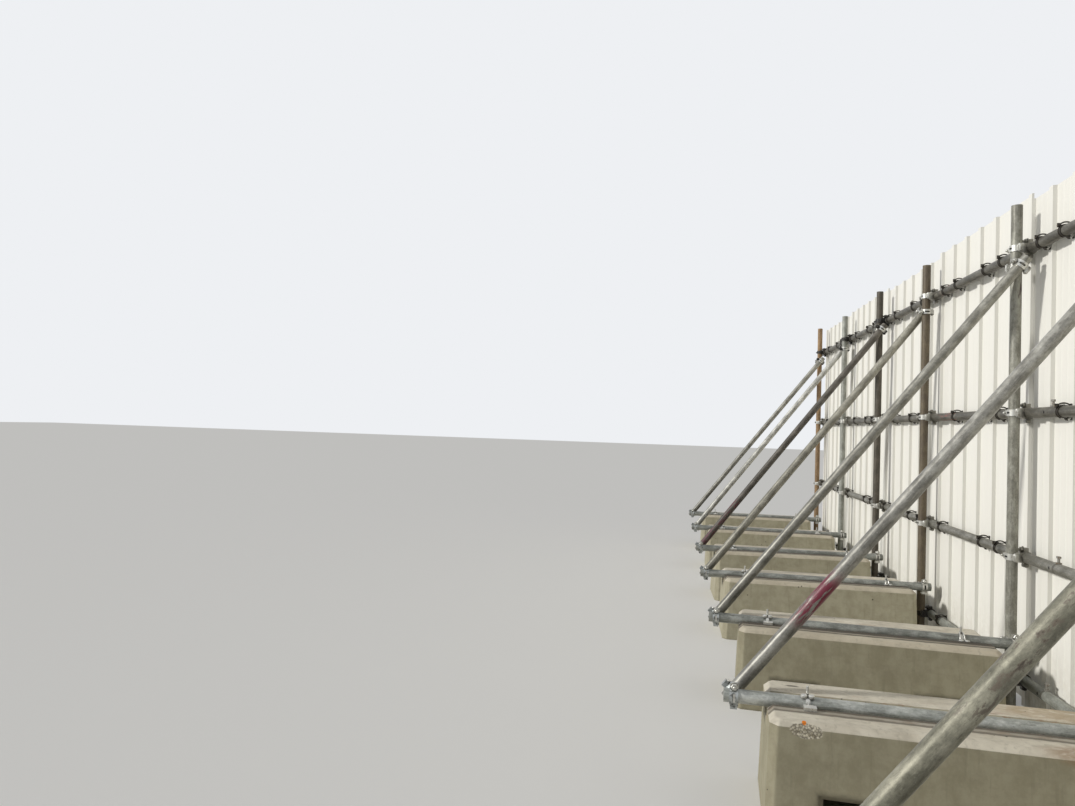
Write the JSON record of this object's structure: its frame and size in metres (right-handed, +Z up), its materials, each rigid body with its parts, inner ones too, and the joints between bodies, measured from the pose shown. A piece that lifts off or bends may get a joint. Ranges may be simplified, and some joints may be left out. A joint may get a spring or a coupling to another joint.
{
  "type": "braced sheet hoarding fence",
  "caption": "Straight security fence of profiled steel sheets on horizontal scaffold tubes, held upright by raking tubes clamped to grooved concrete ballast blocks.",
  "frame": {"origin": "centre of the middle block's underside, on the ground", "axes": "+X along the fence, towards the end that is nearest in the picture; -Y towards the braced side with the blocks, +Y towards the sheets; +Z up"},
  "size_m": [7.7787, 1.4766, 2.474],
  "materials": {
    "weathered_concrete": "cast concrete, weathered, with small blow holes and rust stains along the groove",
    "galvanised_tube": "hot-dip galvanised steel tube, dull and streaked",
    "bright_tube": "newer galvanised steel tube, light silver grey with patches of old paint",
    "rusty_tube": "old steel tube, brown with rust and the remains of dark paint",
    "ledger_tube": "galvanised steel tube, dark grey brown with age",
    "fitting_steel": "pressed and forged steel, zinc plated, with yellowed nuts",
    "coated_sheet": "off-white coil coating on thin profiled steel, slightly dirty"
  },
  "bodies": {
    "root": {"concrete_block_1": "weathered_concrete", "concrete_block_2": "weathered_concrete", "concrete_block_3": "weathered_concrete", "concrete_block_4": "weathered_concrete", "concrete_block_5": "weathered_concrete", "concrete_block_6": "weathered_concrete", "concrete_block_7": "weathered_concrete", "foot_tube_1": "galvanised_tube", "foot_tube_2": "galvanised_tube", "foot_tube_3": "galvanised_tube", "foot_tube_4": "galvanised_tube", "foot_tube_5": "galvanised_tube", "foot_tube_6": "galvanised_tube", "foot_tube_7": "galvanised_tube", "standard_1": "rusty_tube", "standard_2": "bright_tube", "standard_3": "rusty_tube", "standard_4": "rusty_tube", "standard_5": "galvanised_tube", "standard_6": "galvanised_tube", "standard_7": "galvanised_tube", "raker_1": "bright_tube", "raker_2": "bright_tube", "raker_3": "rusty_tube", "raker_4": "bright_tube", "raker_5": "bright_tube", "raker_6": "bright_tube", "raker_7": "galvanised_tube", "top_ledger": "ledger_tube", "upper_ledger": "ledger_tube", "lower_ledger": "ledger_tube", "bottom_ledger": "ledger_tube", "sheet_1": "coated_sheet", "sheet_2": "coated_sheet", "sheet_3": "coated_sheet", "sheet_4": "coated_sheet", "sheet_5": "coated_sheet", "sheet_6": "coated_sheet", "ledger_couplers": "fitting_steel", "raker_head_couplers": "fitting_steel", "raker_foot_couplers": "fitting_steel", "foot_tube_couplers": "fitting_steel", "block_clamps": "fitting_steel", "sheeting_clips": "fitting_steel", "ledger_joint_pins": "fitting_steel"}
  },
  "joints": []
}
